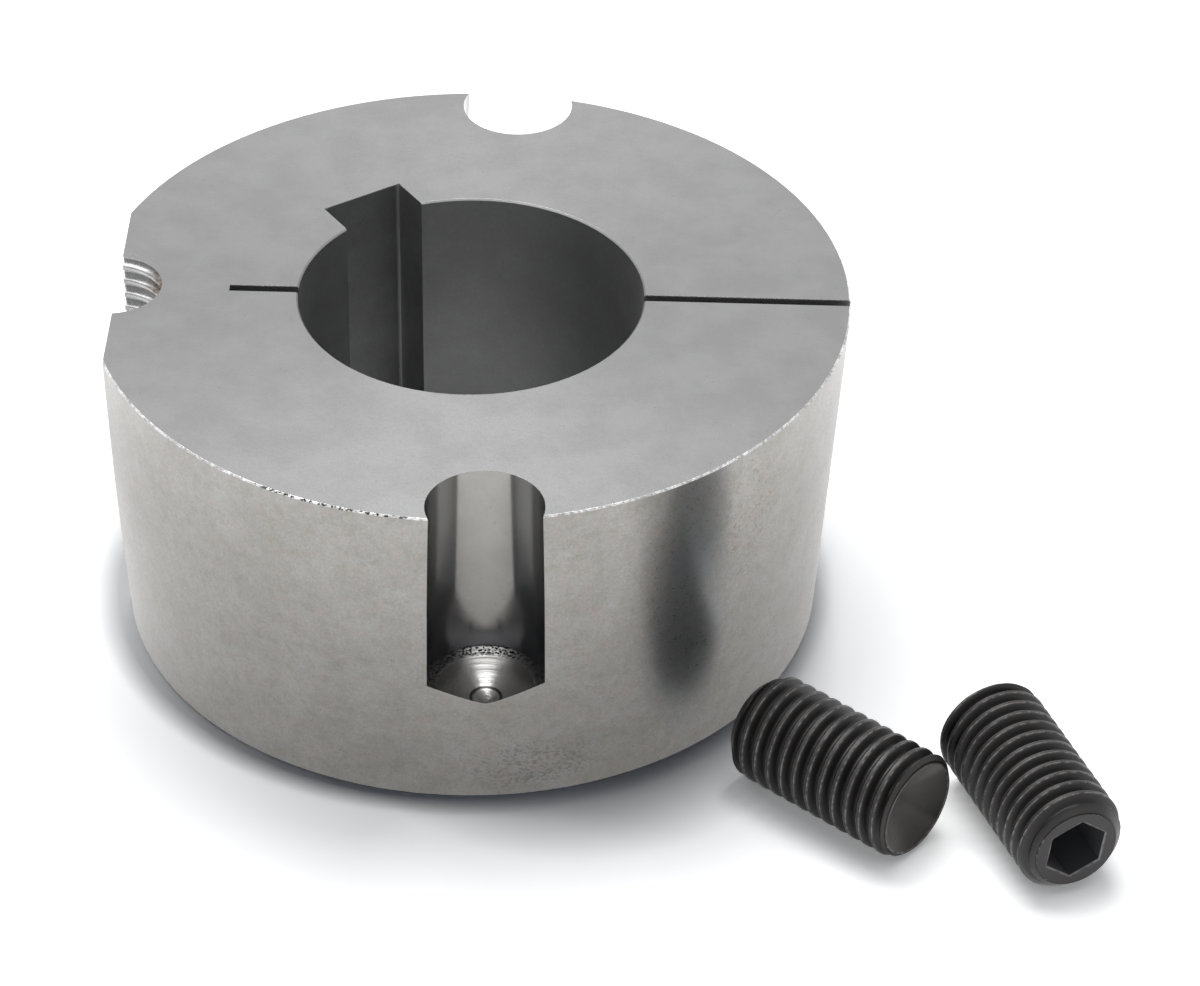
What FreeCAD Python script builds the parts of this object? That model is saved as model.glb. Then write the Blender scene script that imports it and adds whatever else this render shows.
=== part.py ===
import FreeCAD, Part
import math
import os
import Sketcher

# Taper lock bushing with its two socket set screws lying beside it.
# Millimetres, +Z up. The origin is on the bore axis at the small end face. The split opens
# along +X, the flat with the tapped half hole faces -X and the blind half holes face +Y and -Y.

INCH = 25.4

# Driving dimensions: name, value, what it is. Directions and slopes are in degrees.
SIZES = [
    ("bush_length", 2.0 * INCH, "length of the tapered barrel"),
    ("large_end_dia", 4.25 * INCH, "outside diameter at the large end"),
    ("taper_angle", 4.0, "slope of the outside against the axis"),
    ("bore_dia", 1.9375 * INCH, "shaft bore"),
    ("edge_break", 0.25, "turned edges, broken at 45 degrees"),
    ("key_width", 0.5 * INCH, "key seat width"),
    ("key_depth", 0.25 * INCH, "key seat depth at its side"),
    ("key_angle", 125.0, "direction of the key seat"),
    ("split_width", 1.5, "saw cut that lets the bore close"),
    ("relief_width", 1.5, "saw cut opposite the split"),
    ("relief_reach", 34.4, "closed end of the relief cut, from the bore axis"),
    ("flat_depth", 3.575, "flat on the outside, how deep it cuts at the large end"),
    ("circle_dia", 4.0 * INCH, "pitch circle of the three half holes"),
    ("hole_dia", 0.640625 * INCH, "plain half hole"),
    ("hole_depth", 1.1875 * INCH, "plain half hole at full diameter"),
    ("hole_angle", 85.0, "plain half holes, either side from the split"),
    ("drill_angle", 135.0, "cone that the drill leaves"),
    ("thread_dia", 0.625 * INCH, "major diameter of the thread"),
    ("tapped_clearance", 0.1, "tapped half hole over the thread, on diameter"),
    ("screw_clearance", 0.15, "set screw under the thread, on diameter"),
    ("screw_length", 1.125 * INCH, "set screw from end to end"),
    ("socket_break", 1.9, "45 degree end of the thread at the socket"),
    ("point_break", 0.8, "45 degree end of the thread at the point"),
    ("cup_rim", 0.3, "flat rim round the cup point"),
    ("cup_angle", 118.0, "cup point"),
    ("socket_flats", 0.3125 * INCH, "hexagon socket across flats"),
    ("socket_depth", 8.0, "hexagon socket"),
    ("left_x", 42.2, "left screw, middle of its socket end"),
    ("left_y", -41.5, "left screw, middle of its socket end"),
    ("left_yaw", -39.7, "left screw, direction of its point"),
    ("left_roll", 10.0, "left screw, turn about its own axis"),
    ("right_x", 85.6, "right screw, middle of its socket end"),
    ("right_y", -67.5, "right screw, middle of its socket end"),
    ("right_yaw", 112.8, "right screw, direction of its point"),
    ("right_roll", 38.0, "right screw, turn about its own axis"),
]

FULL_TURN = 360.0
HEXAGON = 6
ROUGH = 1.0  # size that a sketch is drawn at before its expressions drive it

doc = FreeCAD.newDocument("TaperLockBushing")


def make_sheet():
    """The driving dimensions, one row each: what it is, then its value, named in the sheet."""
    sheet = doc.addObject("Spreadsheet::Sheet", "Sizes")
    for row, (name, value, note) in enumerate(SIZES, start=1):
        sheet.set("A%d" % row, note)
        sheet.set("B%d" % row, str(value))
        sheet.setAlias("B%d" % row, name)
    doc.recompute()


def origin_plane(body, role):
    """One of the body's own origin planes, by its role."""
    return next(item for item in body.Origin.OriginFeatures if item.Role == role)


def new_sketch(body, name, role, turn=None, lift=None):
    """A sketch on an origin plane, turned about the plane's normal and lifted along it."""
    sketch = body.newObject("Sketcher::SketchObject", name)
    sketch.AttachmentSupport = (origin_plane(body, role), "")
    sketch.MapMode = "FlatFace"
    if turn:
        sketch.AttachmentOffset = FreeCAD.Placement(
            FreeCAD.Vector(0, 0, 0), FreeCAD.Rotation(FreeCAD.Vector(0, 0, 1), ROUGH)
        )
        sketch.setExpression("AttachmentOffset.Rotation.Angle", turn)
    if lift:
        sketch.setExpression("AttachmentOffset.Base.z", lift)
    return sketch


def large_end_sketch(body, name, turn=None):
    """A sketch on the large end face of the bushing, from which its cuts go down."""
    return new_sketch(body, name, "XY_Plane", turn, "Sizes.bush_length")


def drive(sketch, kind, place, size):
    """A dimension of the sketch whose value follows the sheet."""
    index = sketch.addConstraint(Sketcher.Constraint(kind, *place, ROUGH))
    sketch.setExpression("Constraints[%d]" % index, size)


def add_lines(sketch, points):
    """Straight lines through the points, closed and joined end to end. Returns their numbers."""
    vectors = [FreeCAD.Vector(across, up, 0) for across, up in points]
    ends = vectors[1:] + vectors[:1]
    lines = sketch.addGeometry([Part.LineSegment(a, b) for a, b in zip(vectors, ends)], False)
    for line, after in zip(lines, lines[1:] + lines[:1]):
        sketch.addConstraint(Sketcher.Constraint("Coincident", line, 2, after, 1))
    return lines


def add_outline(sketch, corners):
    """A closed outline. A corner is (across, up), and None puts it on that axis of the sketch."""
    spread = [math.tau * k / len(corners) for k in range(len(corners))]
    rough = [(ROUGH * (2 + math.cos(a)), ROUGH * (2 + math.sin(a))) for a in spread]
    lines = add_lines(sketch, rough)
    for line, (across, up) in zip(lines, corners):
        for kind, axis, size in (("DistanceX", -2, across), ("DistanceY", -1, up)):
            if size is None:
                sketch.addConstraint(Sketcher.Constraint("PointOnObject", line, 1, axis))
            else:
                drive(sketch, kind, (line, 1), size)


def add_bar(sketch, near, far, width):
    """A rectangle along the sketch's own X, from near to far, as wide on both sides of it."""
    rough = [(ROUGH, -ROUGH), (2 * ROUGH, -ROUGH), (2 * ROUGH, ROUGH), (ROUGH, ROUGH)]
    low, end, high, start = add_lines(sketch, rough)
    for line, kind in ((low, "Horizontal"), (high, "Horizontal"), (start, "Vertical")):
        sketch.addConstraint(Sketcher.Constraint(kind, line))
    sketch.addConstraint(Sketcher.Constraint("Symmetric", end, 1, end, 2, -1))
    drive(sketch, "DistanceY", (end, 1, end, 2), width)
    drive(sketch, "DistanceX", (end, 1), far)
    if near is None:
        sketch.addConstraint(Sketcher.Constraint("PointOnObject", start, 1, -2))
    else:
        drive(sketch, "DistanceX", (start, 1), near)


def add_circle(sketch, diameter, across=None):
    """A circle centred on the sketch's own X, at its origin unless across says where."""
    centre = FreeCAD.Vector(ROUGH if across else 0, 0, 0)
    circle = sketch.addGeometry(Part.Circle(centre, FreeCAD.Vector(0, 0, 1), ROUGH), False)
    drive(sketch, "Diameter", (circle,), diameter)
    if across:
        sketch.addConstraint(Sketcher.Constraint("PointOnObject", circle, 3, -1))
        drive(sketch, "DistanceX", (circle, 3), across)
    else:
        sketch.addConstraint(Sketcher.Constraint("Coincident", circle, 3, -1, 1))


def add_hexagon(sketch, corner_dia):
    """A regular hexagon about the sketch's origin with a corner on its own X."""
    angles = [math.tau * k / HEXAGON for k in range(HEXAGON)]
    lines = add_lines(sketch, [(ROUGH * math.cos(a), ROUGH * math.sin(a)) for a in angles])
    centre = FreeCAD.Vector(0, 0, 0)
    ring = sketch.addGeometry(Part.Circle(centre, FreeCAD.Vector(0, 0, 1), ROUGH), True)
    sketch.addConstraint(Sketcher.Constraint("Coincident", ring, 3, -1, 1))
    for line in lines:
        sketch.addConstraint(Sketcher.Constraint("PointOnObject", line, 1, ring))
    for line in lines[1:]:
        sketch.addConstraint(Sketcher.Constraint("Equal", lines[0], line))
    sketch.addConstraint(Sketcher.Constraint("PointOnObject", lines[0], 1, -1))
    drive(sketch, "Diameter", (ring,), corner_dia)


def revolve(body, name, sketch, axis):
    """A solid of revolution about one of the sketch's own axes."""
    turned = body.newObject("PartDesign::Revolution", name)
    turned.Profile = sketch
    turned.ReferenceAxis = (sketch, [axis])
    turned.Angle = FULL_TURN
    doc.recompute()
    return turned


def cut(body, name, sketch, depth=None, reverse=False):
    """A pocket of the sketch, right through unless a depth is given."""
    before = body.Shape.Volume
    pocket = body.newObject("PartDesign::Pocket", name)
    pocket.Profile = sketch
    pocket.Reversed = reverse
    if depth:
        pocket.Type = "Length"
        pocket.setExpression("Length", depth)
    else:
        pocket.Type = "ThroughAll"
    doc.recompute()
    if not body.Shape.Volume < before:
        raise RuntimeError(name + " removes nothing")


def drill(body, name, sketch, diameter, depth, point, reverse=False):
    """A blind hole with the cone of the drill below its full diameter."""
    before = body.Shape.Volume
    hole = body.newObject("PartDesign::Hole", name)
    hole.Profile = sketch
    doc.recompute()
    hole.Reversed = reverse
    hole.DepthType = "Dimension"
    hole.DrillPoint = "Angled"
    hole.setExpression("Diameter", diameter)
    hole.setExpression("Depth", depth)
    hole.setExpression("DrillPointAngle", point)
    doc.recompute()
    if not body.Shape.Volume < before:
        raise RuntimeError(name + " removes nothing")
    return hole


def make_bushing():
    """The tapered barrel, split on one side, with its bore, key seat, flat and half holes."""
    body = doc.addObject("PartDesign::Body", "bushing")
    body.Label = "bushing"

    sketch = new_sketch(body, "BarrelSection", "XZ_Plane")
    small_end = "Sizes.large_end_dia / 2 - Sizes.bush_length * tan(Sizes.taper_angle * 1 deg)"
    add_outline(sketch, [
        ("Sizes.bore_dia / 2", None),
        (small_end, None),
        ("Sizes.large_end_dia / 2", "Sizes.bush_length"),
        ("Sizes.bore_dia / 2", "Sizes.bush_length"),
    ])
    barrel = revolve(body, "Barrel", sketch, "V_Axis")

    broken = body.newObject("PartDesign::Chamfer", "BrokenEdges")
    broken.Base = (barrel, ["Face%d" % (k + 1) for k, face in enumerate(barrel.Shape.Faces)
                            if face.Surface.TypeId == "Part::GeomPlane"])
    broken.setExpression("Size", "Sizes.edge_break")
    doc.recompute()

    sketch = large_end_sketch(body, "KeySeatPlan", "Sizes.key_angle * 1 deg")
    bore_chord = "sqrt((Sizes.bore_dia / 2)^2 - (Sizes.key_width / 2)^2)"
    add_bar(sketch, None, bore_chord + " + Sizes.key_depth", "Sizes.key_width")
    cut(body, "KeySeat", sketch)

    sketch = large_end_sketch(body, "SplitPlan")
    add_bar(sketch, None, "Sizes.large_end_dia", "Sizes.split_width")
    cut(body, "Split", sketch)

    sketch = large_end_sketch(body, "ReliefPlan", "180 deg")
    add_bar(sketch, None, "Sizes.relief_reach", "Sizes.relief_width")
    cut(body, "Relief", sketch)

    sketch = large_end_sketch(body, "FlatPlan", "180 deg")
    flat = "Sizes.large_end_dia / 2 - Sizes.flat_depth"
    add_bar(sketch, flat, "Sizes.large_end_dia", "Sizes.large_end_dia")
    cut(body, "Flat", sketch)

    sketch = large_end_sketch(body, "TappedHolePlan", "180 deg")
    add_circle(sketch, "Sizes.thread_dia + Sizes.tapped_clearance", "Sizes.circle_dia / 2")
    cut(body, "TappedHalfHole", sketch)

    sketch = large_end_sketch(body, "PlainHolePlan", "Sizes.hole_angle * -1 deg")
    add_circle(sketch, "Sizes.hole_dia", "Sizes.circle_dia / 2")
    hole = drill(
        body, "PlainHalfHole", sketch, "Sizes.hole_dia", "Sizes.hole_depth", "Sizes.drill_angle"
    )

    pair = body.newObject("PartDesign::Mirrored", "PlainHalfHoles")
    pair.Originals = [hole]
    pair.MirrorPlane = (origin_plane(body, "XZ_Plane"), [""])
    body.Tip = pair
    doc.recompute()
    return body


def make_screw(name, side):
    """A socket set screw along its own X, point last, lying on its thread."""
    body = doc.addObject("PartDesign::Body", name)
    body.Label = name

    crest = "(Sizes.thread_dia - Sizes.screw_clearance) / 2"
    cup = "(%s - Sizes.point_break - Sizes.cup_rim)" % crest
    sketch = new_sketch(body, name + "_section", "XZ_Plane")
    add_outline(sketch, [
        (None, None),
        (None, crest + " - Sizes.socket_break"),
        ("Sizes.socket_break", crest),
        ("Sizes.screw_length - Sizes.point_break", crest),
        ("Sizes.screw_length", crest + " - Sizes.point_break"),
        ("Sizes.screw_length", cup),
        ("Sizes.screw_length - %s / tan(Sizes.cup_angle / 2 * 1 deg)" % cup, None),
    ])
    revolve(body, name + "_shank", sketch, "H_Axis")

    sketch = new_sketch(body, name + "_pilot_plan", "YZ_Plane")
    add_circle(sketch, "Sizes.socket_flats")
    drill(
        body, name + "_pilot", sketch,
        "Sizes.socket_flats", "Sizes.socket_depth", "Sizes.cup_angle", reverse=True,
    )

    sketch = new_sketch(body, name + "_socket_plan", "YZ_Plane")
    add_hexagon(sketch, "Sizes.socket_flats / cos(180 deg / %d)" % HEXAGON)
    cut(body, name + "_socket", sketch, "Sizes.socket_depth", reverse=True)

    body.setExpression("Placement.Base.x", "Sizes.%s_x" % side)
    body.setExpression("Placement.Base.y", "Sizes.%s_y" % side)
    body.setExpression("Placement.Base.z", crest)
    body.setExpression("Placement.Rotation.Yaw", "Sizes.%s_yaw * 1 deg" % side)
    body.setExpression("Placement.Rotation.Roll", "Sizes.%s_roll * 1 deg" % side)
    doc.recompute()
    return body


def check(parts):
    """Stops if any object failed, or if a part is not one sound solid."""
    failed = [item.Name for item in doc.Objects if {"Invalid", "Error"} & set(item.State)]
    if failed:
        raise RuntimeError("failed: " + ", ".join(failed))
    for part in parts:
        shape = part.Shape
        if shape.isNull() or not shape.isValid() or len(shape.Solids) != 1:
            raise RuntimeError(part.Label + " is not one sound solid")


make_sheet()
parts = [
    make_bushing(),
    make_screw("set_screw_left", "left"),
    make_screw("set_screw_right", "right"),
]
doc.recompute()
check(parts)

os.makedirs("parts", exist_ok=True)
for part in parts:
    part.Shape.exportStep("parts/%s.step" % part.Label)
    print(part.Label, round(part.Shape.Volume), "mm3")
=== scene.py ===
"""Looks of a split tapered bushing and its two set screws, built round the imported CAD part."""

import math

import bmesh
import bpy
import numpy as np
from mathutils import Matrix, Vector


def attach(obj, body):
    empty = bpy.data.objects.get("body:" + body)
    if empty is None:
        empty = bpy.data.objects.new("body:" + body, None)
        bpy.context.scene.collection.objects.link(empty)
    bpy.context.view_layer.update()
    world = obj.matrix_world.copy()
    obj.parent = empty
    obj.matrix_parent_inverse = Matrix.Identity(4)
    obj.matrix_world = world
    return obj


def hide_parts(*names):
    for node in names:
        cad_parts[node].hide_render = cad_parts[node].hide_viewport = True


MM = 0.001
INCH = 25.4

# The bushing, in millimetres, as the CAD part has it.
LENGTH = 2 * INCH
LARGE_R = 4.25 * INCH / 2
TAPER = math.radians(4)
BORE_R = 1.9375 * INCH / 2
FLAT_X = -50.4
CIRCLE_R = 2 * INCH
HOLE_R = 0.640625 * INCH / 2
HOLE_END = LENGTH - 1.1875 * INCH
HOLE_TURN = math.radians(85)
TAPPED_WALL_R = (0.625 * INCH + 0.1) / 2

# The thread, 5/8 inch with 11 turns to the inch. The widths of crest and root, and how far their
# rounded corners reach to each side, are shares of a turn. The fall over a corner is a share of
# the height, and the rest is in millimetres.
PITCH = INCH / 11
MAJOR_R = 0.625 * INCH / 2
TAP_DRILL_R = 17 / 32 * INCH / 2
TAPPED_CREST, TAPPED_ROOT = 0.23, 0.13
SCREW_CREST, SCREW_ROOT = 0.2, 0.17
CORNER = 0.03
CORNER_FALL = 0.08

# Depth of the screws' thread. The ridges of the tapped half hole reach this far into its wall,
# and stop this far short of both end faces.
SCREW_THREAD = 1.2
TAPPED_SEAT = 0.006
TAPPED_END = 0.004

# The screws, in millimetres, as the CAD part has them.
SCREW_R = (0.625 * INCH - 0.15) / 2
SCREW_LENGTH = 1.125 * INCH
SOCKET_BREAK = 1.9
SOCKET_MOUTH = 0.15
SOCKET_FLATS = 5 / 16 * INCH
SOCKET_DEPTH = 8.0
POINT_BREAK = 0.8
CUP_RIM = 0.3
CUP_HALF_ANGLE = math.radians(118 / 2)

# What their meshes have of their own: crests a hair inside those of the CAD part, the width of
# the bright line along each rim, grey from abrasion and a painted glint, the middle and half
# width of the height at which the crests are abraded and carry a painted glint, how fast the
# thread rises from the point, in heights a turn, and the middle and half width of the sector of
# the cup that is painted dark as a reflection of the other screw.
SCREW_CREST_R = SCREW_R - 0.002
RIM_LINE = 0.14
WEAR_AND_GLINT_HEIGHT, WEAR_AND_GLINT_HALF = 0.955, 0.045
POINT_RISE = 1.6
REFLECTION_SECTOR_TURN = math.radians(-17)
REFLECTION_SECTOR_HALF = math.radians(44)

# Points round a screw, and across the tapped half hole.
SCREW_COLUMNS = 144
TAPPED_COLUMNS = 81

# Points closer than this, in metres, are welded, and edges sharper than this stay sharp.
WELD = 2e-7
CREASE = math.radians(34)

# Each screw: x and y of the middle of its socket end, in millimetres, then the direction of its
# point and its turn about its own axis, in degrees.
SCREWS = {
    "set_screw_left": (42.2, -41.5, -39.7, 10.0),
    "set_screw_right": (85.6, -67.5, 112.8, 38.0),
}

# The photograph's camera: millimetres, and pixels of the 1200 x 986 frame.
FRAME_WIDTH = 1200
SENSOR = 36.0
FOCAL_PIXELS = 4998.9
CAMERA_AT = (32.347, -587.767, 449.911)
CAMERA_FORWARD = (-0.018740, 0.804502, -0.593655)
CAMERA_UP = (-0.025853, 0.593170, 0.804662)

# Each lamp, in metres and watts: its place, its size and its power. The soft box is overhead and
# behind the object. The top light is above it and to its left, and only gives the glints.
SOFT_BOX = ((-0.10, 0.30, 0.85), (0.7, 0.5), 7.8)
TOP_LIGHT = ((-0.20, -0.05, 0.85), (0.9, 0.4), 3.0)
FLOOR_REACH = 3

# A reach, in millimetres, that leaves an axis of a mask free.
FREE = 99

# The half holes, in millimetres: heights of the chips torn where the cone begins and of the rings
# on it, how far down it the web of the drill left its step, and where the band of painted
# reflection on the wall has its round foot.
CHIP_HEIGHT = 0.14
RING_HEIGHT = 0.05
WEB_DOWN = 2.5
BAND_FOOT = 30.8

# How closely the normal of a face follows an axis: along it, facing its way, or leaning to it.
ALONG, FACING, LEANING = 0.99, 0.95, 0.5

# The graphite flakes in grey iron scatter a little light, so it is not wholly metallic.
IRON_METALLIC = 0.82


def linear(code):
    """A colour given as sRGB hex, in the linear values that shaders take."""
    parts = [int(code[k:k + 2], 16) / 255 for k in (0, 2, 4)]
    parts = [c / 12.92 if c <= 0.04045 else ((c + 0.055) / 1.055) ** 2.4 for c in parts]
    return (*parts, 1.0)


def per_metre(size):
    """Scale of a texture whose features are this many millimetres across."""
    return 1 / (size * MM)


def add(tree, kind, links=None, out=0, **settings):
    """Adds one shader node and gives one of its outputs. links fills its inputs from sockets or
    values, and settings its properties."""
    node = tree.nodes.new("ShaderNode" + kind)
    for name, value in settings.items():
        setattr(node, name, value)
    for key, value in (links or {}).items():
        if isinstance(value, bpy.types.NodeSocket):
            tree.links.new(value, node.inputs[key])
        else:
            node.inputs[key].default_value = value
    return node.outputs[out] if node.outputs else None


def new_material(name):
    """An empty material: its node tree, and the place on the object in metres."""
    material = bpy.data.materials.new(name)
    material.use_nodes = True
    material.node_tree.nodes.clear()
    return material, material.node_tree, add(material.node_tree, "TexCoord", out="Object")


def new_mesh(name, points, faces, layers):
    """A mesh piece from points in millimetres, with values on its points."""
    mesh = bpy.data.meshes.new(name)
    mesh.from_pydata([tuple(p) for p in points * MM], [], faces)
    for layer, values in layers.items():
        mesh.attributes.new(layer, "FLOAT", "POINT").data.foreach_set(
            "value", np.asarray(values, np.float32)
        )
    welded = bmesh.new()
    welded.from_mesh(mesh)
    bmesh.ops.remove_doubles(welded, verts=welded.verts, dist=WELD)
    bmesh.ops.recalc_face_normals(welded, faces=welded.faces)
    welded.to_mesh(mesh)
    welded.free()
    mesh.shade_smooth()
    mesh.set_sharp_from_angle(angle=CREASE)
    piece = bpy.data.objects.new(name, mesh)
    bpy.context.scene.collection.objects.link(piece)
    return piece


def thread_height(share, crest, root):
    """Height of a 60 degree thread, 0 at its root to 1 at its crest, by share of a turn."""
    away = np.abs((share + 0.5) % 1 - 0.5)
    foot = 0.5 - root / 2
    places = [0, crest / 2 - CORNER, crest / 2 + CORNER, foot - CORNER, foot + CORNER]
    return np.interp(away, places, [1, 1, 1 - CORNER_FALL, CORNER_FALL, 0])


def turn_shares(crest, root):
    """Where a turn of the thread has its points: close at its corners, even on its flanks."""
    foot = 0.5 - root / 2
    half = np.concatenate([
        [0, crest / 2 - CORNER, crest / 2],
        np.linspace(crest / 2 + CORNER, foot - CORNER, 6),
        [foot + CORNER],
    ])
    return np.concatenate([half, [0.5], 1 - half[:0:-1]])


def grid_faces(rows, columns, start=0, flip=False):
    """Quads of a grid of points, row after row, whose first point has the number start."""
    faces = []
    for r in range(rows - 1):
        for c in range(columns - 1):
            low = start + r * columns + c
            face = (low, low + 1, low + columns + 1, low + columns)
            faces.append(face[::-1] if flip else face)
    return faces


def seam_faces(rows, columns, climb, start=0):
    """Quads that join the last column back to the first, as many rows further as a helix
    climbs in a turn."""
    faces = []
    for r in range(rows - 1 - climb):
        last, first = start + r * columns + columns - 1, start + (r + climb) * columns
        faces.append((last, first, first + columns, last + columns))
    return faces


def set_screw(name, x, y, yaw, roll):
    """A cup point socket set screw: rolled thread, faced ends, hexagon socket, dished point."""
    columns = SCREW_COLUMNS
    turn = np.arange(columns) * math.tau / columns
    shares = turn_shares(SCREW_CREST, SCREW_ROOT)
    turns = int(SCREW_LENGTH / PITCH) + 3
    along = np.concatenate([PITCH * (k - 1 + shares) for k in range(turns)])[:, None]
    s = np.clip(along + PITCH * turn / math.tau, 0, SCREW_LENGTH)

    height = thread_height(s / PITCH - turn / math.tau, SCREW_CREST, SCREW_ROOT)
    fade = np.clip(POINT_RISE * (SCREW_LENGTH - s) / PITCH, 0, 1)
    radius = SCREW_CREST_R - SCREW_THREAD * (1 - height) * fade
    radius = np.minimum(radius, SCREW_CREST_R - SOCKET_BREAK + s)
    radius = np.minimum(radius, SCREW_CREST_R - POINT_BREAK + SCREW_LENGTH - s)
    on_ends = (s < SOCKET_BREAK) | (s > SCREW_LENGTH - POINT_BREAK)
    # Grey along the corners of the crests: partly abrasion, partly a painted glint.
    crest_wear_and_glint = np.clip(1 - np.abs(height - WEAR_AND_GLINT_HEIGHT) / WEAR_AND_GLINT_HALF, 0, 1) * ~on_ends

    def ring(at, reach, wear_and_glint=0.0, inside=0.0, painted_shade=0.0, dish=0.0):
        """A ring of points at one place along the screw: place, radii, the share of grey that is
        abrasion and painted glint, 1 inside the socket, 1 where the tone is painted darkest and 1
        where the dished point is brown."""
        values = (at, reach, wear_and_glint, inside, painted_shade, dish)
        return [np.broadcast_to(np.asarray(v, float), columns) for v in values]

    # A sector of the dished point has no brown and takes the darkest tone instead, a painted
    # reflection of the other screw; the brown comes back softly at its edges.
    from_reflection_sector = np.abs((turn - REFLECTION_SECTOR_TURN + math.pi) % math.tau - math.pi)
    brown = np.clip(3 * (from_reflection_sector / REFLECTION_SECTOR_HALF - 0.8), 0, 1)
    flats = SOCKET_FLATS / 2 / np.cos(turn % (math.pi / 3) - math.pi / 6)
    cup_r = SCREW_CREST_R - POINT_BREAK - CUP_RIM
    cone_slope = math.tan(CUP_HALF_ANGLE)
    socket = [
        ring(SOCKET_DEPTH + SOCKET_FLATS / 2 / cone_slope, 0, 0, 1),
        ring(SOCKET_DEPTH, SOCKET_FLATS / 2, 0, 1),
        ring(SOCKET_DEPTH, flats, 0, 1),
        ring(SOCKET_MOUTH, flats, 0, 1),
        ring(0, flats + SOCKET_MOUTH, 0.7),
        ring(0, flats + SOCKET_MOUTH + RIM_LINE),
        ring(0, SCREW_CREST_R - SOCKET_BREAK - RIM_LINE),
        ring(0, SCREW_CREST_R - SOCKET_BREAK, 0.9),
        ring(RIM_LINE, SCREW_CREST_R - SOCKET_BREAK + RIM_LINE),
    ]
    # The corners of the crests carry abrasion and a painted glint, and the roots carry painted
    # shade.
    thread = [ring(s[k], radius[k], crest_wear_and_glint[k], 0, (1 - height[k]) * fade[k])
              for k in range(len(along))]
    point = [
        ring(SCREW_LENGTH - RIM_LINE, SCREW_CREST_R - POINT_BREAK + RIM_LINE),
        ring(SCREW_LENGTH, SCREW_CREST_R - POINT_BREAK, 0.9),
        ring(SCREW_LENGTH, cup_r, 0.6),
        # The dark sector of the cup is a painted reflection of the other screw.
        ring(SCREW_LENGTH - RIM_LINE / cone_slope, cup_r - RIM_LINE, 0, 0, 1 - brown, brown),
        ring(SCREW_LENGTH - cup_r / cone_slope, 0, 0, 0, 1 - brown, brown),
    ]
    values = np.swapaxes(np.array(socket + thread + point), 0, 1)
    at, reach = values[:2]
    own = np.stack([at, reach * np.cos(turn), reach * np.sin(turn)], -1).reshape(-1, 3)
    turned = (Matrix.Rotation(math.radians(yaw), 3, "Z")
              @ Matrix.Rotation(math.radians(roll), 3, "X"))
    points = own @ np.array(turned).T + (x, y, SCREW_R)

    faces = []
    start = 0
    for rings, climb in ((socket, 0), (thread, len(shares)), (point, 0)):
        faces += grid_faces(len(rings), columns, start)
        faces += seam_faces(len(rings), columns, climb, start)
        start += len(rings) * columns
    names = ("wear_and_glint", "inside", "painted_shade", "dish")
    layers = {layer: value.ravel() for layer, value in zip(names, values[2:])}
    return new_mesh(name + "_threaded", points, faces, layers)


def tapped_thread():
    """The ridges of the tapped half hole, seated in its wall, and cut off where the flat, the
    taper and both end faces cut the hole."""
    shares = turn_shares(TAPPED_CREST, TAPPED_ROOT)
    turns = int(LENGTH / PITCH) + 4
    level = np.concatenate([PITCH * (k - 1 + shares) for k in range(turns)])[:, None]
    across = np.linspace(-1, 1, TAPPED_COLUMNS)

    def ridge(z, turn):
        height = thread_height((z - LENGTH) / PITCH - turn / math.tau, TAPPED_CREST, TAPPED_ROOT)
        return MAJOR_R - (MAJOR_R - TAP_DRILL_R) * height

    def seat(z, turn):
        return np.full_like(z, TAPPED_WALL_R + TAPPED_SEAT)

    def wall(radius_of):
        """Points of a wall that reaches round on both sides to the flat or the taper."""
        turn = across * np.ones_like(level)
        # How far round it reaches depends on its height, and its height on how far round it is,
        # so a few rounds settle both.
        for _ in range(8):
            z = np.clip(level + PITCH * turn / math.tau, TAPPED_END, LENGTH - TAPPED_END)
            radius = radius_of(z, turn)
            outside = LARGE_R - (LENGTH - z) * math.tan(TAPER)
            to_taper = (CIRCLE_R ** 2 + radius ** 2 - outside ** 2) / (2 * CIRCLE_R * radius)
            to_flat = (CIRCLE_R + FLAT_X) / radius
            turn = across * np.arccos(np.maximum(to_taper, to_flat))
        x = radius * np.cos(turn) - CIRCLE_R
        return np.stack([x, radius * np.sin(turn), z], -1)

    inner, outer = wall(ridge), wall(seat)
    rows, columns = inner.shape[:2]
    count = rows * columns
    points = np.concatenate([inner.reshape(-1, 3), outer.reshape(-1, 3)])
    faces = grid_faces(rows, columns) + grid_faces(rows, columns, count, True)
    edges = [
        [r * columns for r in range(rows)],
        [r * columns + columns - 1 for r in range(rows)],
        list(range(columns)),
        [(rows - 1) * columns + c for c in range(columns)],
    ]
    for edge in edges:
        faces += [(a, b, count + b, count + a) for a, b in zip(edge, edge[1:])]
    return new_mesh("tapped_thread", points, faces, {})


def near(tree, place, centre, reach, full=0.5):
    """1 at a place on the object, in millimetres, and 0 beyond these reaches from it along each
    axis. full is the share of the reaches that stays 1."""
    moved = add(tree, "VectorMath", {0: place, 1: tuple(c * MM for c in centre)},
                operation="SUBTRACT")
    scaled = add(tree, "VectorMath", {0: moved, 1: tuple(per_metre(r) for r in reach)},
                 operation="MULTIPLY")
    away = add(tree, "VectorMath", {0: scaled}, "Value", operation="LENGTH")
    return add(tree, "MapRange", {"Value": away, "From Min": 1.0, "From Max": full})


def only(tree, place, axes):
    """A place on the object that keeps these axes alone, so that a mask runs straight through
    along the others."""
    return add(tree, "CombineXYZ",
               {axis: add(tree, "SeparateXYZ", {0: place}, axis) for axis in axes})


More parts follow.
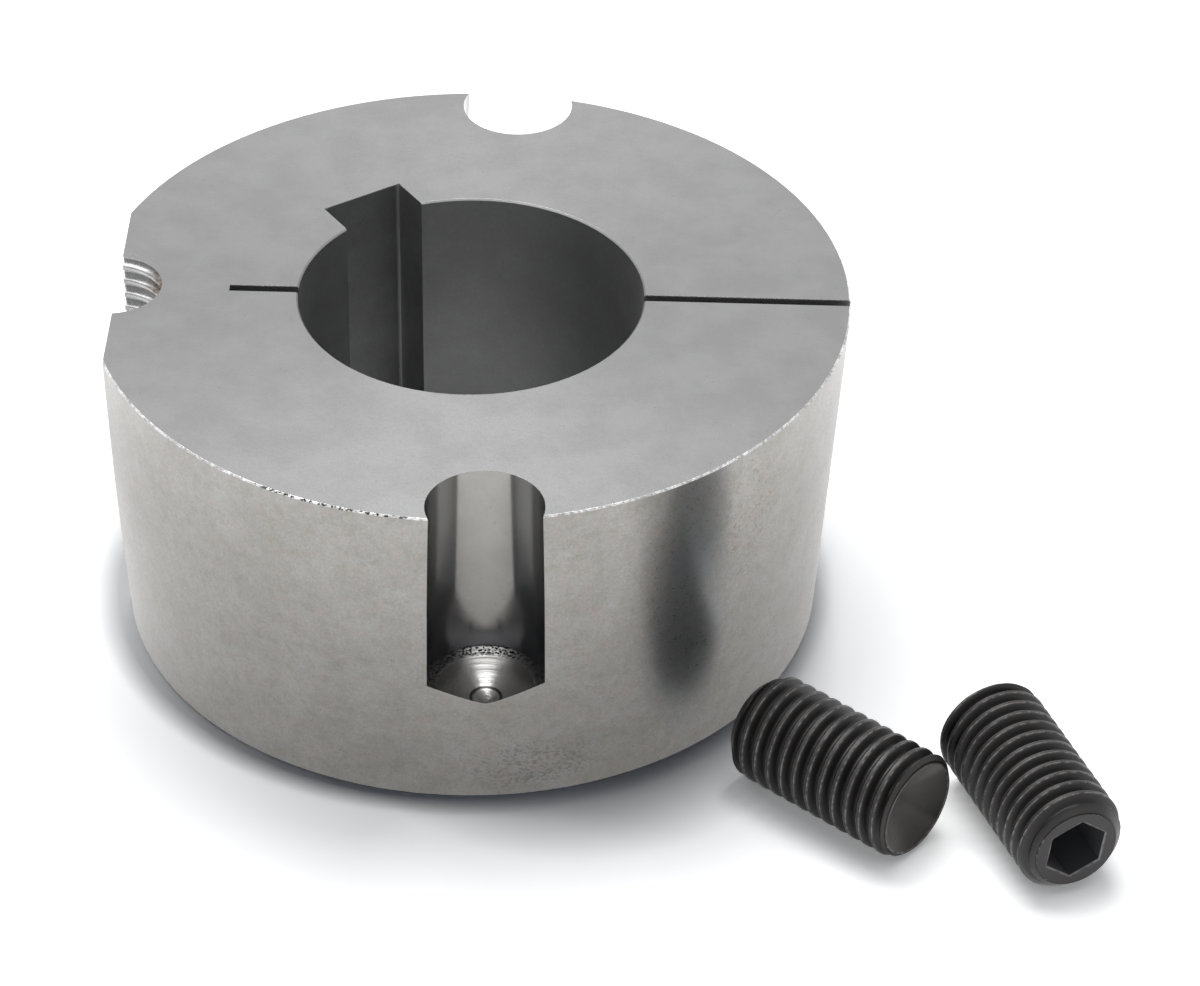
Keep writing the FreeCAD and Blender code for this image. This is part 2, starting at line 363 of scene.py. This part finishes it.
def iron(name, sheen, patch, pore, roughness, marks, mark_height, specks=0.05, edge=0.12,
         marked=None, stains_and_painted_light=None, lay=None, drawn_out=0.0):
    """Machined grey iron: patches of sheen, specks, dark pores, tool marks, softened edges.

    marks is how far apart the tool marks are along each axis, in millimetres. marked may add
    marks of its own to their height, and stains_and_painted_light may change the colour, with
    real stains or with painted shade, highlights and reflections. lay says what the marks run
    round, the part's own axis or that of the wall they are on, and drawn_out how much they draw a
    reflection out across them.
    """
    material, tree, place = new_material(name)
    cloud = add(tree, "TexNoise", {"Vector": place, "Scale": per_metre(7.0), "Detail": 4.0,
                                   "Roughness": 0.6})
    patches = add(tree, "MapRange", {"Value": cloud, "From Min": 0.38, "From Max": 0.62})
    colour = add(tree, "Mix", {0: patches, 6: linear(sheen), 7: linear(patch)}, 2,
                 data_type="RGBA")
    grain = add(tree, "TexNoise", {"Vector": place, "Scale": per_metre(0.5), "Detail": 3.0,
                                   "Roughness": 0.7})
    speck = add(tree, "MapRange", {"Value": grain, "From Min": 0.3, "From Max": 0.7,
                                   "To Min": 1 + specks, "To Max": 1 - specks})
    colour = add(tree, "VectorMath", {0: colour, "Scale": speck}, operation="SCALE")
    cells = add(tree, "TexVoronoi", {"Vector": place, "Scale": per_metre(1.5)}, "Distance")
    pits = add(tree, "MapRange", {"Value": cells, "From Min": 0.13, "From Max": 0.05})
    sparse = add(tree, "TexNoise", {"Vector": place, "Scale": per_metre(4.0)})
    open_here = add(tree, "MapRange", {"Value": sparse, "From Min": 0.48, "From Max": 0.6})
    pores = add(tree, "Math", {0: pits, 1: open_here}, operation="MULTIPLY")
    darker = add(tree, "Math", {0: pores, 1: 0.4}, operation="MULTIPLY")
    colour = add(tree, "Mix", {0: darker, 6: colour, 7: linear(pore)}, 2, data_type="RGBA")
    # Real stains, or painted shade, highlights and reflections, as each finish has them.
    if stains_and_painted_light:
        colour = stains_and_painted_light(tree, place, colour)

    apart = add(tree, "Mapping", {"Vector": place, "Scale": tuple(per_metre(m) for m in marks)})
    ridges = add(tree, "TexNoise", {"Vector": apart, "Scale": 1.0, "Detail": 2.0,
                                    "Roughness": 0.6})
    height = add(tree, "Math", {0: ridges, 1: mark_height * MM}, operation="MULTIPLY")
    if marked:
        own = marked(tree, place)
        height = add(tree, "Math", {0: height, 1: own}, operation="ADD")
    soft = add(tree, "Bevel", {"Radius": edge * MM}, samples=6)
    bump = add(tree, "Bump", {"Height": height, "Strength": 1.0, "Distance": 1.0,
                              "Normal": soft})
    # The roughness varies with the specks, but never by much.
    uneven = min(specks, 0.04)
    rough = add(tree, "MapRange", {"Value": grain, "From Min": 0.3, "From Max": 0.7,
                                   "To Min": roughness - uneven, "To Max": roughness + uneven})
    looks = {
        "Base Color": colour, "Metallic": IRON_METALLIC, "Roughness": rough, "Normal": bump,
    }
    if lay:
        outward = place if lay == "axis" else add(tree, "NewGeometry", out="Normal")
        looks["Tangent"] = add(tree, "VectorMath", {0: (0, 0, 1), 1: outward},
                               operation="CROSS_PRODUCT")
        looks["Anisotropic"] = drawn_out
        looks["Anisotropic Rotation"] = 0.25
    add(tree, "OutputMaterial", {"Surface": add(tree, "BsdfPrincipled", looks)})
    return material


def chatter(tree, place):
    """Torn chips, 0 to 1, round the wall where the cone begins."""
    level = only(tree, place, "Z")
    torn = near(tree, level, (0, 0, HOLE_END - 0.08), (FREE, FREE, 0.5), 0.6)
    chips = add(tree, "TexVoronoi", {"Vector": place, "Scale": per_metre(0.32)}, "Distance")
    chips = add(tree, "MapRange", {"Value": chips, "From Min": 0.5, "From Max": 0.38})
    return add(tree, "Math", {0: chips, 1: torn}, operation="MULTIPLY")


def torn_painted_shade(tree, place, colour):
    """Painted shade in the hollows of the torn chips, and along the step that the web of the
    drill cut near the middle of the cone."""
    level = only(tree, place, "Z")
    web = near(tree, level, (0, 0, HOLE_END - WEB_DOWN), (FREE, FREE, 0.11), 0.4)
    web = add(tree, "Math", {0: web, 1: 0.85}, operation="MULTIPLY")
    dark = add(tree, "Math", {0: chatter(tree, place), 1: web}, operation="MAXIMUM")
    return add(tree, "Mix", {0: dark, 6: colour, 7: linear("0A0A0A")}, 2, data_type="RGBA")


def chatter_marks(tree, place):
    """Height of the torn metal."""
    return add(tree, "Math", {0: chatter(tree, place), 1: CHIP_HEIGHT * MM},
               operation="MULTIPLY")


def cone_marks(tree, place):
    """Height of the rings that the drill leaves on its cone, and of the torn chips."""
    apart = add(tree, "Mapping", {"Vector": place,
                                  "Scale": tuple(per_metre(m) for m in (9.0, 9.0, 0.22))})
    rings = add(tree, "TexNoise", {"Vector": apart, "Scale": 1.0, "Detail": 2.0})
    return add(tree, "Math", {0: rings, 1: RING_HEIGHT * MM, 2: chatter_marks(tree, place)},
               operation="MULTIPLY_ADD")


def wall_painted_shade(tree, place, colour):
    """Painted shade on the walls of the half holes, darkest low down. It is left off in a band up
    the middle, round at its foot, which stands as a painted reflection of the floor."""
    z = add(tree, "SeparateXYZ", {0: place}, "Z")
    low = add(tree, "Math", {0: z, 1: BAND_FOOT * MM}, operation="MINIMUM")
    rounded = add(tree, "CombineXYZ", {"X": add(tree, "SeparateXYZ", {0: place}, "X"),
                                       "Z": low})
    # Painted reflection: the band where the wall keeps its own colour.
    bright_share = near(tree, rounded, (4.1, 0, BAND_FOOT), (4.7, FREE, 7.6), 0.84)
    # Painted shade, darker deeper down the hole.
    depth = add(tree, "MapRange", {"Value": z, "From Min": 26 * MM, "From Max": 34 * MM})
    dark_tone = add(tree, "Mix", {0: depth, 6: linear("6C6C6E"), 7: linear("A2A2A0")}, 2,
               data_type="RGBA")
    colour = add(tree, "Mix", {0: bright_share, 6: dark_tone, 7: colour}, 2, data_type="RGBA")
    return torn_painted_shade(tree, place, colour)


def cone_painted_shade_and_highlight(tree, place, colour):
    """Painted shade on the cones, as on the walls, and a painted highlight down their backs,
    brightest low down.
    """
    bright_share = near(tree, only(tree, place, "XZ"), (4.5, 0, 17.8), (4.9, FREE, 3.6), 0.2)
    colour = add(tree, "Mix", {0: bright_share, 6: linear("828282"), 7: colour}, 2,
                 data_type="RGBA")
    return torn_painted_shade(tree, place, colour)


def rim_nicks(tree, place, colour):
    """Dark nicks along the broken edges, most of them on one length of the rim, and parts where
    the painted glint is dimmer than the rest."""
    nicks = add(tree, "TexNoise", {"Vector": place, "Scale": per_metre(0.45), "Detail": 2.0})
    nicks = add(tree, "MapRange", {"Value": nicks, "From Min": 0.52, "From Max": 0.56})
    bruised = near(tree, place, (-17, -51, LENGTH), (16, 7, 4), 0.7)
    often = add(tree, "MapRange", {"Value": bruised, "To Min": 0.3, "To Max": 0.95})
    nicks = add(tree, "Math", {0: nicks, 1: often}, operation="MULTIPLY")
    dimmer_glint = add(tree, "TexNoise", {"Vector": place, "Scale": per_metre(1.8), "Detail": 3.0})
    dimmer_glint = add(tree, "MapRange", {"Value": dimmer_glint, "From Min": 0.4, "From Max": 0.6,
                                  "To Max": 0.5})
    colour = add(tree, "Mix", {0: dimmer_glint, 6: colour, 7: linear("9C9B99")}, 2, data_type="RGBA")
    return add(tree, "Mix", {0: nicks, 6: colour, 7: linear("2E2C2A")}, 2, data_type="RGBA")


def side_stains_and_painted_reflection(tree, place, colour):
    """Handling marks on the outside: a rippled dark patch low in front, yellowish specks beside
    the screws, and a warm tint that comes and goes. A cool dark streak is a painted reflection of
    the screws."""
    apart = add(tree, "Mapping", {"Vector": place,
                                  "Scale": tuple(per_metre(m) for m in (0.6, 0.6, 0.4))})
    ripple = add(tree, "TexNoise", {"Vector": apart, "Scale": 1.0, "Detail": 2.0})
    ripple = add(tree, "MapRange", {"Value": ripple, "From Min": 0.5, "From Max": 0.6,
                                    "To Max": 0.4})
    low = near(tree, place, (10.5, -49.5, 5.5), (12, 12, 5.5))
    low = add(tree, "Math", {0: low, 1: ripple}, operation="MULTIPLY")
    colour = add(tree, "Mix", {0: low, 6: colour, 7: linear("4C4A46")}, 2, data_type="RGBA")

    dots = add(tree, "TexNoise", {"Vector": place, "Scale": per_metre(0.8), "Detail": 4.0,
                                  "Roughness": 0.75})
    dots = add(tree, "MapRange", {"Value": dots, "From Min": 0.52, "From Max": 0.72,
                                  "To Max": 0.9})
    beside = near(tree, place, (40, -35, 40), (8, 8, 13))
    beside = add(tree, "Math", {0: beside, 1: dots}, operation="MULTIPLY")
    colour = add(tree, "Mix", {0: beside, 6: colour, 7: linear("807655")}, 2, data_type="RGBA")

    # Olive and pink tints, and specks less than half a millimetre across.
    tints = add(tree, "TexNoise", {"Vector": place, "Scale": per_metre(1.8), "Detail": 5.0,
                                   "Roughness": 0.7}, "Color")
    for channel, tint in (("Red", "868472"), ("Green", "A79791")):
        share = add(tree, "SeparateColor", {0: tints}, channel)
        share = add(tree, "MapRange", {"Value": share, "From Min": 0.46, "From Max": 0.68,
                                       "To Max": 0.42})
        colour = add(tree, "Mix", {0: share, 6: colour, 7: linear(tint)}, 2, data_type="RGBA")
    speck = add(tree, "TexNoise", {"Vector": place, "Scale": per_metre(0.4), "Detail": 2.0})
    speck = add(tree, "MapRange", {"Value": speck, "From Min": 0.3, "From Max": 0.7,
                                   "To Min": 1.07, "To Max": 0.93})
    colour = add(tree, "VectorMath", {0: colour, "Scale": speck}, operation="SCALE")

    # Painted reflection of the screws: a cool dark streak on the side, darkest high up.
    screw_reflection_high = near(tree, place, (33.4, -42, 44), (6.5, 6.5, 16))
    screw_reflection_low = near(tree, place, (31.5, -40.5, 24), (7.5, 7.5, 22), 0.6)
    for share, strength, tone in ((screw_reflection_high, 0.38, "596065"), (screw_reflection_low, 0.35, "8A8F96")):
        share = add(tree, "Math", {0: share, 1: strength}, operation="MULTIPLY")
        colour = add(tree, "Mix", {0: share, 6: colour, 7: linear(tone)}, 2,
                     data_type="RGBA")
    return colour


def painted_corner_glint(tree, place, colour):
    """A painted glint: a pale line up the inner corner of the key seat."""
    line = near(tree, only(tree, place, "XY"), (-12.42, 28.37, 0), (0.45, 0.45, FREE))
    return add(tree, "Mix", {0: line, 6: colour, 7: linear("D0D0D0")}, 2, data_type="RGBA")


def thread_bloom(tree, place, colour):
    """A brown bloom of rust on the first turns of the tapped thread, beside its deepest part."""
    here = near(tree, place, (-44.4, 4.0, 47.5), (3.5, 4.5, 3.2))
    patchy = add(tree, "TexNoise", {"Vector": place, "Scale": per_metre(0.8), "Detail": 3.0})
    patchy = add(tree, "MapRange", {"Value": patchy, "From Min": 0.35, "From Max": 0.65,
                                    "To Min": 0.2, "To Max": 0.9})
    rust = add(tree, "Math", {0: here, 1: patchy}, operation="MULTIPLY")
    return add(tree, "Mix", {0: rust, 6: colour, 7: linear("6B5546")}, 2, data_type="RGBA")


def black_oxide():
    """Black oxide on alloy steel: a dark oxide coat with an oily half gloss, gone through to grey
    along the corners of the crests and round both ends, where the grey lines also stand for a
    painted glint. The oxide is no metal, but it is thin, so the surface is not quite half
    metallic."""
    material, tree, place = new_material("black_oxide_steel")
    wear_and_glint = add(tree, "Attribute", out="Fac", attribute_name="wear_and_glint")
    blotch = add(tree, "TexNoise", {"Vector": place, "Scale": per_metre(3.0), "Detail": 4.0})
    dark_tone = add(tree, "Mix", {0: blotch, 6: linear("333335"), 7: linear("403C39")}, 2,
               data_type="RGBA")
    # The roots of the thread are painted darker as shade, and the sector of the dished point
    # darkest as a painted reflection of the other screw. The film is thin on the broached walls
    # of the socket, so they are a lighter grey, and brown in the dished point.
    for layer, tone in (("painted_shade", "1C1C1E"), ("inside", "7E7E80"), ("dish", "5A5651")):
        share = add(tree, "Attribute", out="Fac", attribute_name=layer)
        dark_tone = add(tree, "Mix", {0: share, 6: dark_tone, 7: linear(tone)}, 2, data_type="RGBA")
    broken = add(tree, "TexNoise", {"Vector": place, "Scale": per_metre(0.8), "Detail": 3.0})
    broken = add(tree, "MapRange", {"Value": broken, "From Min": 0.38, "From Max": 0.62,
                                    "To Min": 0.1})
    bright_share = add(tree, "Math", {0: wear_and_glint, 1: broken}, operation="MULTIPLY")
    colour = add(tree, "Mix", {0: bright_share, 6: dark_tone, 7: linear("A3A19F")}, 2, data_type="RGBA")
    pebble = add(tree, "TexNoise", {"Vector": place, "Scale": per_metre(0.3), "Detail": 2.0})
    pebble = add(tree, "Math", {0: pebble, 1: 0.006 * MM}, operation="MULTIPLY")
    bump = add(tree, "Bump", {"Height": pebble, "Strength": 1.0, "Distance": 1.0})
    rough = add(tree, "MapRange", {"Value": blotch, "From Min": 0.3, "From Max": 0.7,
                                   "To Min": 0.38, "To Max": 0.5})
    steel = add(tree, "BsdfPrincipled", {
        "Base Color": colour, "Metallic": 0.45, "Normal": bump, "Roughness": rough,
    })
    add(tree, "OutputMaterial", {"Surface": steel})
    return material


def iron_finishes():
    """What each tool left on the bushing, by the name of the finish."""
    return {
        # End faces, faced and ground: an even, pale satin whose marks are too fine to follow,
        # so they only fan the sheen out from the axis.
        "ground_iron": iron("ground_iron", "9D9D9D", "969696", "77767A", 0.28,
                            (0.4, 0.4, 0.4), 0.0004, specks=0.015, edge=0.02, lay="axis",
                            drawn_out=0.4),
        # Tapered outside, finish turned: smooth, slightly warm and mottled, with tiny pores. The
        # turning marks draw reflections out up and down.
        "turned_iron": iron("turned_iron", "A1A09D", "999894", "8A8782", 0.3,
                            (4.0, 4.0, 0.18), 0.003, 0.04, stains_and_painted_light=side_stains_and_painted_reflection,
                            lay="wall", drawn_out=0.5),
        # Broken edges: torn a little by the tool, with dark nicks; their near-white colour is a
        # painted glint.
        "edge_iron_painted_glint": iron("edge_iron_painted_glint", "FCFCFC", "E8E8E8", "3A3836", 0.3,
                          (0.7, 0.7, 0.7), 0.12, 0.25, stains_and_painted_light=rim_nicks),
        # Bore, finish bored: the same iron, seen by its own light.
        "bored_iron": iron("bored_iron", "949494", "8E8E8E", "5A5959", 0.46,
                           (4.0, 4.0, 0.2), 0.004, 0.04),
        # Walls of the half holes, drilled: burnished by the lands of the drill to a near mirror.
        "drilled_iron": iron("drilled_iron", "95938F", "8E8C88", "5E5A55", 0.15,
                             (5.0, 5.0, 0.3), 0.003, 0.03, marked=chatter_marks,
                             stains_and_painted_light=wall_painted_shade, lay="wall", drawn_out=0.6),
        # Their cones, cut by the point of the drill: ringed and rougher, with a bright base that
        # shows as a painted highlight down their backs and lies under painted shade elsewhere.
        "coned_iron": iron("coned_iron", "C4C3C1", "BAB9B7", "5E5A55", 0.24,
                           (5.0, 5.0, 0.3), 0.003, 0.03, marked=cone_marks,
                           stains_and_painted_light=cone_painted_shade_and_highlight, lay="wall", drawn_out=0.5),
        # Key seat, split and relief cut: broached and sawn, duller and darker.
        "sawn_iron": iron("sawn_iron", "929292", "888888", "4A4845", 0.42,
                          (0.3, 0.3, 4.0), 0.008, 0.06, edge=0.3, stains_and_painted_light=painted_corner_glint),
        # Tapped thread: cut bright on its flanks.
        "tapped_iron": iron("tapped_iron", "B0B0B0", "A2A2A1", "4A4642", 0.22,
                            (0.5, 0.5, 0.5), 0.008, 0.1, stains_and_painted_light=thread_bloom),
    }


def finish_of(centre, normal):
    """Which finish a face of the bushing has, from its middle in millimetres and its normal.
    Each distance has some slack, because the middle of a facet lies inside its arc."""
    reach = math.hypot(centre.x, centre.y)
    outward = (normal.x * centre.x + normal.y * centre.y) / reach
    outside = LARGE_R - (LENGTH - centre.z) * math.tan(TAPER)
    hole = Vector((math.cos(HOLE_TURN), math.sin(HOLE_TURN))) * CIRCLE_R
    to_hole = math.hypot(centre.x - hole.x, abs(centre.y) - hole.y)
    if abs(normal.z) > ALONG:
        return "ground_iron"
    if outward > FACING and abs(reach - outside) < 0.2 or abs(centre.x - FLAT_X) < 0.01:
        return "turned_iron"
    if to_hole < HOLE_R + 0.05 and centre.z > HOLE_END - HOLE_R:
        on_cone = centre.z < HOLE_END and normal.z > LEANING
        return "coned_iron" if on_cone else "drilled_iron"
    if math.hypot(centre.x + CIRCLE_R, centre.y) < TAPPED_WALL_R + 0.05:
        return "tapped_iron"
    if reach < BORE_R + 1.5 and abs(normal.z) > LEANING or abs(reach - BORE_R) < 0.1:
        return "bored_iron"
    if abs(normal.z) > LEANING:
        return "edge_iron_painted_glint"
    return "sawn_iron"


def dress_bushing(node, finishes):
    """Gives each face of the CAD bushing the finish that its tool left."""
    mesh = node.data
    mesh.materials.clear()
    names = list(finishes)
    for name in names:
        mesh.materials.append(finishes[name])
    for face in mesh.polygons:
        face.material_index = names.index(finish_of(face.center / MM, face.normal))


def dress_thread(piece, finishes):
    """The ridges are tapped iron; where they end they carry on the faces round them."""
    names = ("tapped_iron", "ground_iron", "turned_iron")
    for name in names:
        piece.data.materials.append(finishes[name])
    for face in piece.data.polygons:
        if abs(face.normal.z) > ALONG:
            face.material_index = names.index("ground_iron")
        elif face.normal.x < -FACING:
            face.material_index = names.index("turned_iron")


def seen_directly(tree):
    """1 for what the camera sees, itself or in a gloss or glass, and 0 for the light that falls
    on matt things."""
    seen = add(tree, "LightPath", out="Is Camera Ray")
    for ray in ("Is Glossy Ray", "Is Transmission Ray"):
        other = add(tree, "LightPath", out=ray)
        seen = add(tree, "Math", {0: seen, 1: other}, operation="MAXIMUM")
    bounces = add(tree, "LightPath", out="Diffuse Depth")
    before = add(tree, "Math", {0: bounces, 1: 0.5}, operation="LESS_THAN")
    return add(tree, "Math", {0: seen, 1: before}, operation="MULTIPLY")


def lamp(name, place, size, power):
    """A rectangular lamp that faces straight down."""
    light = bpy.data.lights.new(name, "AREA")
    light.shape = "RECTANGLE"
    light.size, light.size_y = size
    light.energy = power
    lamp_object = bpy.data.objects.new(name, light)
    lamp_object.location = place
    bpy.context.scene.collection.objects.link(lamp_object)
    return lamp_object


def studio():
    """A white floor, white all round, and two lamps overhead."""
    mesh = bpy.data.meshes.new("floor")
    corners = [(x * FLOOR_REACH, y * FLOOR_REACH, 0) for x, y in
               ((-1, -1), (1, -1), (1, 1), (-1, 1))]
    mesh.from_pydata(corners, [], [(0, 1, 2, 3)])
    floor = bpy.data.objects.new("floor", mesh)
    bpy.context.scene.collection.objects.link(floor)

    # Seamless white paper: matt, and lifted to white where it is seen, but not at the foot of
    # anything nor in front of the bushing, so that the shadows are left there.
    material, tree, place = new_material("white_paper")
    open_air = add(tree, "AmbientOcclusion", {"Distance": 7 * MM}, "AO", samples=16)
    open_air = add(tree, "MapRange", {"Value": open_air, "From Min": 0.3, "From Max": 0.9,
                                      "To Min": 0.4})
    shade = near(tree, place, (16, -16, 0), (38.5, 48, FREE), 0.62)
    foot = near(tree, place, (-1.4, 0, 0), (54.7, 54.7, FREE), 0.93)
    away = add(tree, "VectorMath", {0: place}, "Value", operation="LENGTH")
    far = add(tree, "MapRange", {"Value": away, "From Min": 60 * MM, "From Max": 95 * MM,
                                 "To Min": 0.77})
    lit = add(tree, "Math", {0: open_air, 1: far}, operation="MULTIPLY")
    for mask in (shade, foot):
        clear = add(tree, "Math", {0: 1.0, 1: mask}, operation="SUBTRACT")
        lit = add(tree, "Math", {0: lit, 1: clear}, operation="MULTIPLY")

    # What the sides of the bushing mirror: the paper is brightest at their foot, where it also
    # has the most shadow, and again from about twice its radius outwards.
    beyond = add(tree, "MapRange", {"Value": away, "From Min": 84 * MM, "From Max": 105 * MM,
                                    "To Max": 0.95})
    close = add(tree, "MapRange", {"Value": away, "From Min": 52 * MM, "From Max": 74 * MM,
                                   "To Min": 0.9, "To Max": 0.58})
    mirrored = add(tree, "Math", {0: beyond, 1: close}, operation="ADD")
    outside = add(tree, "Math", {0: away, 1: 50 * MM}, operation="GREATER_THAN")
    mirrored = add(tree, "Math", {0: mirrored, 1: outside}, operation="MULTIPLY")
    camera = add(tree, "LightPath", out="Is Camera Ray")
    lit = add(tree, "Mix", {0: camera, 2: mirrored, 3: lit})
    lit = add(tree, "Math", {0: lit, 1: seen_directly(tree)}, operation="MULTIPLY")
    paper = add(tree, "BsdfDiffuse", {"Color": linear("FAFAFB")})
    lift = add(tree, "Emission", {"Color": linear("D2D2D2"), "Strength": lit})
    both = add(tree, "AddShader", {0: paper, 1: lift})
    add(tree, "OutputMaterial", {"Surface": both})
    mesh.materials.append(material)

    # White all round where it is seen, and a faint cool light on the shadows.
    world = bpy.data.worlds.new("white_room")
    world.use_nodes = True
    tree = world.node_tree
    tree.nodes.clear()
    room = add(tree, "Mix", {0: seen_directly(tree), 6: linear("4A4E54"), 7: linear("FFFFFF")},
               2, data_type="RGBA")
    sky = add(tree, "Background", {"Color": room, "Strength": 1.0})
    add(tree, "OutputWorld", {"Surface": sky})
    bpy.context.scene.world = world

    lamp("soft_box", *SOFT_BOX)
    lamp("top_light", *TOP_LIGHT).visible_diffuse = False


def photograph():
    """The photograph's camera, straight from its measured place and direction."""
    data = bpy.data.cameras.new("camera")
    data.sensor_fit = "HORIZONTAL"
    data.sensor_width = SENSOR
    data.lens = FOCAL_PIXELS * SENSOR / FRAME_WIDTH
    data.clip_start = 0.01
    camera = bpy.data.objects.new("camera", data)
    forward = Vector(CAMERA_FORWARD).normalized()
    right = forward.cross(Vector(CAMERA_UP)).normalized()
    turned = Matrix((right, right.cross(forward), -forward)).transposed()
    camera.matrix_world = Matrix.Translation(Vector(CAMERA_AT) * MM) @ turned.to_4x4()
    bpy.context.scene.collection.objects.link(camera)
    bpy.context.scene.camera = camera
    bpy.context.scene.view_settings.view_transform = "Standard"


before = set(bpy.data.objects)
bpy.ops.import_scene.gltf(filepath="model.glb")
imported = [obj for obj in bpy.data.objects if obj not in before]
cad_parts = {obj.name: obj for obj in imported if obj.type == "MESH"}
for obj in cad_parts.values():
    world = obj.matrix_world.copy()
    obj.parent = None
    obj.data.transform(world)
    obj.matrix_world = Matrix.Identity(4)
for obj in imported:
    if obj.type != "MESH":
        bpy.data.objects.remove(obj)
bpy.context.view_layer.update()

finishes = iron_finishes()
dress_bushing(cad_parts["bushing"], finishes)

thread = tapped_thread()
dress_thread(thread, finishes)
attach(thread, "root")

oxide = black_oxide()
for node_name, place in SCREWS.items():
    screw = set_screw(node_name, *place)
    screw.data.materials.append(oxide)
    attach(screw, "root")
    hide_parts(node_name)

studio()
photograph()
